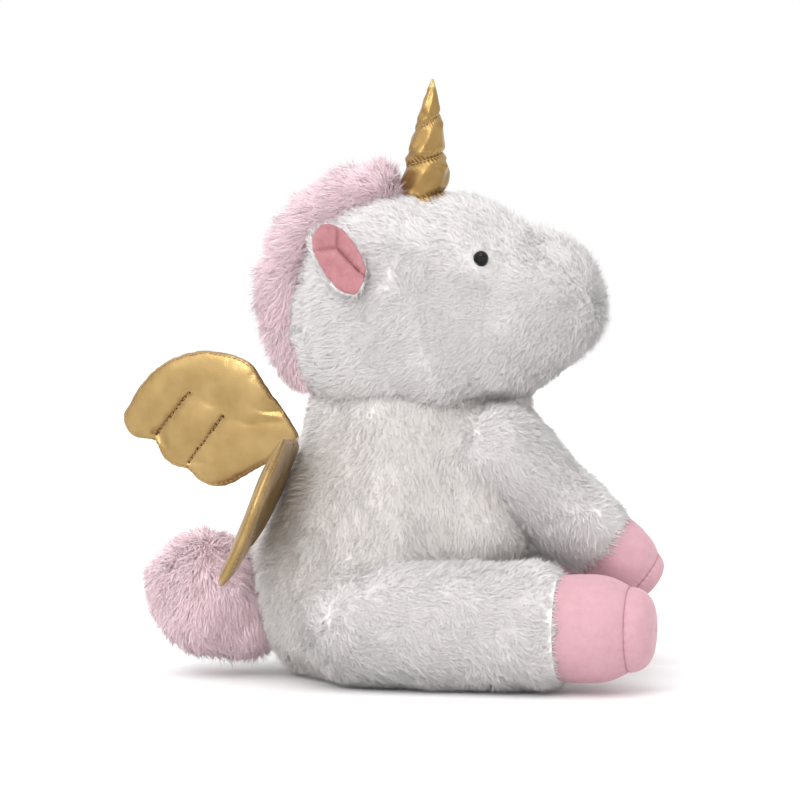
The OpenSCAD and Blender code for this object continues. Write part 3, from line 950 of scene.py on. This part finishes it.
def wing_stitches(flat, surface, edge, row, w):
    """Topstitching inside the edge on both faces, and the feather rows. w points out of the upper face."""
    cage = surface[:len(flat)]
    inwards = unit(cage.mean(axis=0) - cage[edge]) * 1.3
    threads = []
    for face in (-1, 1):
        line = surface[nearest(cage[edge] + inwards + w * face * 1.4, surface)]
        for _ in range(2):
            line = line * 0.5 + (np.roll(line, 1, 0) + np.roll(line, -1, 0)) * 0.25
        threads += dashes(np.concatenate([line, line[:1]]), w * face * 0.12)
    for a, b in FEATHER_SEAMS:
        a, b = np.array(a) * WING_SCALE, np.array(b) * WING_SCALE
        line = [i for i in row if segment_distance(flat[i:i + 1, :2], a, b)[0] < 0.3]
        line.sort(key=lambda i: (flat[i, :2] - a) @ (b - a))
        for lift in (-0.28, 0.28):
            threads += dashes(cage[line], w * lift)
    return threads


def make_wing(side, points, filled, tris, edge, row):
    """One wing in its place. The filled points lie along, across and out of the wing from its root."""
    at, v = JOINT_AT[f"wing_{side}_flap"], unit(JOINT_AXIS[f"wing_{side}_flap"])
    u = node_points(f"wing_padding_{side}").mean(axis=0) - at
    u = unit(u - (u @ v) * v)
    w = np.cross(u, v)
    x, y, z = filled.T
    z = z + 1.4 * noise(filled * [1, 1, 0], 45, 4) * np.clip(x / 40, 0, 1)
    twist = TIP_TWIST[side] * np.clip(x / 85, 0, 1)
    local = np.stack([x, y * np.cos(twist) - z * np.sin(twist), y * np.sin(twist) + z * np.cos(twist)], 1)
    place = at + SETTLE[side] + local @ np.stack([u, v, w])
    wing = mesh_object(f"wing_gold_{side}", place, tris, materials=[GOLD])
    smoother = wing.modifiers.new("smooth", "SUBSURF")
    smoother.levels = smoother.render_levels = 1
    apply_modifiers(wing)
    parts = [f"wing_{part}_{side}" for part in ("outer", "inner", "padding")]
    declare(wing, f"wing_{side}", parts)
    stitches(f"wing_thread_{side}", f"wing_{side}", f"wing_stitching_{side}", GOLD_THREAD,
             wing_stitches(points, mesh_points(wing.data), edge, row, w), 0.26)


def make_wings():
    points, tris, edge, row = wing_mesh()
    root = np.flatnonzero(points[:, 0] < 5)
    filled = inflate(points, tris, np.concatenate([row, root]), 3.0)
    filled = points + np.clip(filled - points, -PUFF_LIMIT, PUFF_LIMIT)
    for side in SIDES:
        make_wing(side, points, filled, tris, edge, row)


make_wings()

# ---------------------------------------------------------------- ears

EAR_LEN, EAR_MID = 37, 2.0


def ear_frame(side):
    """Base point, and the directions across, along and out of the ear."""
    back = node_points(f"ear_back_{side}").mean(axis=0)
    out = unit(node_points(f"ear_lining_{side}").mean(axis=0) - back)
    base = JOINT_AT[f"ear_{side}_fold"]
    across = unit(JOINT_AXIS[f"ear_{side}_fold"])
    along = unit(np.cross(out, across))
    if (back - base) @ along < 0:
        along = -along
    across = np.cross(along, out) * (1 if side == "right" else -1)
    return base, np.stack([across, along, out])


EAR_HALF = [(0, 0.6), (0.08, 5.2), (0.2, 8.4), (0.4, 9.9), (0.6, 9.8), (0.78, 8.9), (0.9, 6.8), (0.97, 4),
            (1, 0.6)]    # half the ear's width by the share of its length
EAR_FOLD = np.array([3.8, 23.5])
EAR_CREASES = [(EAR_FOLD, np.array(end)) for end in ((10.0, 34.0), (7.0, 8.5), (-8.0, 28.5))]
EAR_DEPTHS = 1.5, 2.2, 1.3
PAD_Z = -2.6             # the furry back pad's middle lies this far behind the lining


def ear_half_width(t):
    return np.interp(t, *zip(*EAR_HALF))


def ear_height(x, y):
    """The lining's relief: a shallow cup with three creases that meet, one flap over its neighbour."""
    p = np.stack([x, y], -1)
    t = np.clip(y / EAR_LEN, 0, 1)
    half = np.maximum(ear_half_width(t), 0.5)
    edge = np.clip(1 - ((x - EAR_MID) / half) ** 2, 0, 1)
    cup = 4.2 - 2.0 * edge * np.sin(math.pi * t)
    valley = np.max([depth * np.exp(-(segment_distance(p, a, b) / 0.9) ** 1.3)
                     for depth, (a, b) in zip(EAR_DEPTHS, EAR_CREASES)], axis=0)
    a, b = EAR_CREASES[1]
    way = unit(b - a)
    off = (p - a) @ np.array([way[1], -way[0]])
    flap = np.where((off < 0) & (y < EAR_FOLD[1]), 1.3 * np.exp(off / 5), 0)
    swell = 0.9 * np.clip(np.min([segment_distance(p, a, b) for a, b in EAR_CREASES], axis=0) / 5, 0, 1)
    return cup - valley + flap + swell * edge


def rim_strip(half, rows, columns):
    """Closes the front and back grids with a strip round their shared border."""
    stride = columns + 1
    border = [j for j in range(columns)] + [i * stride + columns for i in range(rows)]
    border += [rows * stride + j for j in range(columns, 0, -1)] + [i * stride for i in range(rows, 0, -1)]
    strip = []
    for a, b in zip(border, border[1:] + border[:1]):
        strip += [(a, a + half, b + half), (a, b + half, b)]
    return np.array(strip)


def make_ear(side, rows=90, columns=60):
    base, axes = ear_frame(side)
    points = []
    for i in range(rows + 1):
        t = i / rows
        half = float(ear_half_width(t))
        middle = EAR_MID * math.sin(math.pi * min(t * 1.6, 0.5))
        points.extend((middle + half * (2 * j / columns - 1), t * EAR_LEN) for j in range(columns + 1))
    points = np.array(points)
    front = np.column_stack([points, ear_height(points[:, 0], points[:, 1])])
    back = np.column_stack([points, np.full(len(points), -1.0)])
    rim = np.abs(np.tile(np.arange(columns + 1), rows + 1) * 2 / columns - 1)
    front[:, 2] -= 2.2 * np.clip((rim - 0.8) / 0.2, 0, 1) ** 2
    tris = []
    stride = columns + 1
    for i in range(rows):
        for j in range(columns):
            a = i * stride + j
            tris += [(a, a + 1, a + stride + 1), (a, a + stride + 1, a + stride)]
    tris = np.array(tris)
    shell = np.concatenate([front, back])
    faces = np.concatenate([tris, tris[:, ::-1] + len(front), rim_strip(len(front), rows, columns)])
    if side == "left":
        faces = faces[:, ::-1]
    lining = mesh_object(f"ear_velour_{side}", base + shell @ axes, faces, materials=[EAR_VELOUR])
    declare(lining, f"ear_{side}", [f"ear_lining_{side}"])

    def pad(p):
        q = (p - base) @ axes.T
        return ball(q, (EAR_MID - 0.5, EAR_LEN / 2 - 0.5, PAD_Z), 1, (10.6, EAR_LEN / 2, 2.4))

    def rim_only(p):
        q = (p - base) @ axes.T
        inside = np.abs(q[:, 0] - EAR_MID) < ear_half_width(np.clip(q[:, 1] / EAR_LEN, 0, 1)) - 1.5
        return ~((q[:, 2] > PAD_Z) & inside)

    make_fur(f"ear_{side}", f"ear_{side}", [f"ear_back_{side}"], pad,
             base + (EAR_MID, EAR_LEN / 2, PAD_Z) @ axes, 40, 7000,
             flow=lambda p, n: np.tile(axes[1], (len(p), 1)) + 0.5 * n, rings=40, sectors=60, pole=axes[1],
             keep=rim_only, fill=0.4, **{**WHITE, "length": 4.5})


for side in SIDES:
    make_ear(side)

# ---------------------------------------------------------------- eyes

for side, (centre, axis) in EYES.items():
    r = EYE_R * 0.78
    dome = [(-3.2, 0.4), (-3.2, EYE_R * 0.7), (-2.4, r), (-1.8, r)]
    turn = np.radians(np.linspace(4, 89.5, 30))
    dome += [(-1.8 + (EYE_R + 0.9) * math.sin(t), r * math.cos(t)) for t in turn]
    tube = closed_tube(turned(dome, centre, axis, 64), len(dome), 64)
    eye = mesh_object(f"eye_gloss_{side}", *tube, materials=[EYE_BLACK])
    declare(eye, "head", [f"eye_{side}"])

# ---------------------------------------------------------------- what stays as the CAD made it

INNER = {
    FIBRE: [f"{part}_stuffing" for part in ("body", "neck", "head")]
           + [f"{limb}_stuffing_{side}" for limb in ("arm", "leg") for side in SIDES],
    POUCH_CLOTH: ["pellet_pouch"],
    WHITE_THREAD: ["closing_seam"],
    WASHER: [f"eye_washer_{side}" for side in SIDES],
}
for material, nodes in INNER.items():
    for node in nodes:
        for slot in frame["nodes"][node].material_slots:
            slot.material = material

# ---------------------------------------------------------------- floor, light and camera

floor_mesh = bpy.data.meshes.new("floor")
floor_mesh.from_pydata([(-3, -3, 0), (3, -3, 0), (3, 3, 0), (-3, 3, 0)], [], [(0, 1, 2, 3)])
floor = bpy.data.objects.new("floor", floor_mesh)
bpy.context.scene.collection.objects.link(floor)
floor_mesh.materials.append(Finish("floor_white", (0.9, 0.9, 0.9), 0.9).material)


WORLD_LIGHT = 1.27


def studio_world():
    """A white tent, dimmer low down in front, that looks plain white behind the object."""
    world = bpy.data.worlds.new("studio")
    bpy.context.scene.world = world
    world.use_nodes = True
    nodes, links = world.node_tree.nodes, world.node_tree.links
    tent = nodes["Background"]
    tent.inputs["Strength"].default_value = WORLD_LIGHT
    place = nodes.new("ShaderNodeTexCoord")
    split = nodes.new("ShaderNodeSeparateXYZ")
    height = nodes.new("ShaderNodeValToRGB")
    height.color_ramp.elements[0].position = 0.45
    height.color_ramp.elements[0].color = (0.71, 0.71, 0.72, 1)
    height.color_ramp.elements[1].position = 0.85
    height.color_ramp.elements[1].color = (1, 1, 1, 1)
    half = nodes.new("ShaderNodeMapRange")
    half.inputs["From Min"].default_value = -1
    plain = nodes.new("ShaderNodeBackground")
    seen = nodes.new("ShaderNodeLightPath")
    mix = nodes.new("ShaderNodeMixShader")
    links.new(place.outputs["Generated"], split.inputs["Vector"])
    links.new(split.outputs["Z"], half.inputs["Value"])
    links.new(half.outputs["Result"], height.inputs["Fac"])
    links.new(height.outputs["Color"], tent.inputs["Color"])
    plain.inputs["Color"].default_value = (1, 1, 1, 1)
    links.new(seen.outputs["Is Camera Ray"], mix.inputs["Fac"])
    links.new(tent.outputs["Background"], mix.inputs[1])
    links.new(plain.outputs["Background"], mix.inputs[2])
    links.new(mix.outputs["Shader"], nodes["World Output"].inputs["Surface"])


studio_world()


def sun(name, way, strength, spread):
    light = bpy.data.lights.new(name, "SUN")
    light.energy, light.angle = strength, math.radians(spread)
    obj = bpy.data.objects.new(name, light)
    obj.rotation_mode = "QUATERNION"
    obj.rotation_quaternion = Vector(way).to_track_quat("-Z", "Y")
    bpy.context.scene.collection.objects.link(obj)


sun("key", (0.35, 0.75, -1.3), 0.9, 50)
sun("fill", (0.8, 0.8, -0.6), 0.45, 60)
sun("sparkle", (0.35, 0.8, -0.55), 0.35, 6)

camera_data = bpy.data.cameras.new("camera")
camera_data.lens = 162
camera = bpy.data.objects.new("camera", camera_data)
bpy.context.scene.collection.objects.link(camera)
CAMERA_DISTANCE, CAMERA_ELEVATION = 1.8, math.radians(3.5)
AIM = Vector((0.0035, 0, 0.1378))
back = Vector((0, -math.cos(CAMERA_ELEVATION), math.sin(CAMERA_ELEVATION)))
camera.location = AIM + back * CAMERA_DISTANCE
camera.rotation_mode = "QUATERNION"
camera.rotation_quaternion = (-back).to_track_quat("-Z", "Y")
bpy.context.scene.camera = camera
bpy.context.scene.view_settings.view_transform = "Standard"
